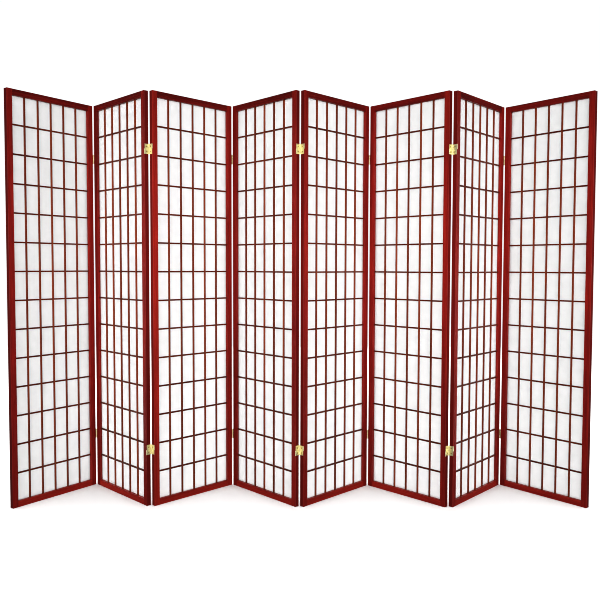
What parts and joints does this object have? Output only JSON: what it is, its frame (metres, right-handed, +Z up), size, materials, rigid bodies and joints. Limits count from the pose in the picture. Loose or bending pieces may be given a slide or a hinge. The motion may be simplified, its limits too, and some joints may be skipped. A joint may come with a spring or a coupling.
{
  "type": "folding shoji screen",
  "caption": "Free-standing folding screen: slender wooden frames with a lattice over white paper, hinged edge to edge to stand in a zigzag and divide a room.",
  "frame": {"origin": "on the floor, at the middle of the standing screen's bounding box", "axes": "+X along the run of the zigzag, +Y towards the back (the papered side), +Z up"},
  "size_m": [2.4958, 0.3712, 1.784],
  "materials": {
    "frame_wood": "satin lacquer over a dark red rosewood stain",
    "lattice_wood": "satin lacquer over a dark red rosewood stain",
    "paper": "matt fibrous white",
    "hinge_brass": "polished",
    "pin_brass": "polished"
  },
  "bodies": {
    "panel_1": {"stiles_1": "frame_wood", "rails_1": "frame_wood", "lattice_1": "lattice_wood", "paper_1": "paper", "hinge_leaves_1": "hinge_brass", "hinge_links_1": "hinge_brass", "hinge_fixings_1": "pin_brass"},
    "panel_2": {"stiles_2": "frame_wood", "rails_2": "frame_wood", "lattice_2": "lattice_wood", "paper_2": "paper", "hinge_leaves_2": "hinge_brass", "hinge_links_2": "hinge_brass", "hinge_fixings_2": "pin_brass"},
    "panel_3": {"stiles_3": "frame_wood", "rails_3": "frame_wood", "lattice_3": "lattice_wood", "paper_3": "paper", "hinge_leaves_3": "hinge_brass", "hinge_links_3": "hinge_brass", "hinge_fixings_3": "pin_brass"},
    "panel_4": {"stiles_4": "frame_wood", "rails_4": "frame_wood", "lattice_4": "lattice_wood", "paper_4": "paper", "hinge_leaves_4": "hinge_brass", "hinge_links_4": "hinge_brass", "hinge_fixings_4": "pin_brass"},
    "panel_5": {"stiles_5": "frame_wood", "rails_5": "frame_wood", "lattice_5": "lattice_wood", "paper_5": "paper", "hinge_leaves_5": "hinge_brass", "hinge_links_5": "hinge_brass", "hinge_fixings_5": "pin_brass"},
    "panel_6": {"stiles_6": "frame_wood", "rails_6": "frame_wood", "lattice_6": "lattice_wood", "paper_6": "paper", "hinge_leaves_6": "hinge_brass", "hinge_links_6": "hinge_brass", "hinge_fixings_6": "pin_brass"},
    "panel_7": {"stiles_7": "frame_wood", "rails_7": "frame_wood", "lattice_7": "lattice_wood", "paper_7": "paper", "hinge_leaves_7": "hinge_brass", "hinge_links_7": "hinge_brass", "hinge_fixings_7": "pin_brass"},
    "panel_8": {"stiles_8": "frame_wood", "rails_8": "frame_wood", "lattice_8": "lattice_wood", "paper_8": "paper", "hinge_leaves_8": "hinge_brass", "hinge_links_8": "hinge_brass", "hinge_fixings_8": "pin_brass"}
  },
  "joints": [
    {"name": "fold_1", "type": "hinge", "parent": "panel_1", "child": "panel_2", "pos_m": [-0.96937, 0.16819, 0], "axis": [0, 0, 1], "range_deg": [-80, 100]},
    {"name": "fold_2", "type": "hinge", "parent": "panel_2", "child": "panel_3", "pos_m": [-0.64952, -0.13728, 0], "axis": [0, 0, -1], "range_deg": [-88.5, 91.5]},
    {"name": "fold_3", "type": "hinge", "parent": "panel_3", "child": "panel_4", "pos_m": [-0.32049, 0.15828, 0], "axis": [0, 0, 1], "range_deg": [-87.5, 92.5]},
    {"name": "fold_4", "type": "hinge", "parent": "panel_4", "child": "panel_5", "pos_m": [-0.00603, -0.15273, 0], "axis": [0, 0, -1], "range_deg": [-87, 93]},
    {"name": "fold_5", "type": "hinge", "parent": "panel_5", "child": "panel_6", "pos_m": [0.32041, 0.14569, 0], "axis": [0, 0, 1], "range_deg": [-88, 92]},
    {"name": "fold_6", "type": "hinge", "parent": "panel_6", "child": "panel_7", "pos_m": [0.64025, -0.15978, 0], "axis": [0, 0, -1], "range_deg": [-85.5, 94.5]},
    {"name": "fold_7", "type": "hinge", "parent": "panel_7", "child": "panel_8", "pos_m": [0.95336, 0.1526, 0], "axis": [0, 0, 1], "range_deg": [-81.5, 98.5]}
  ]
}
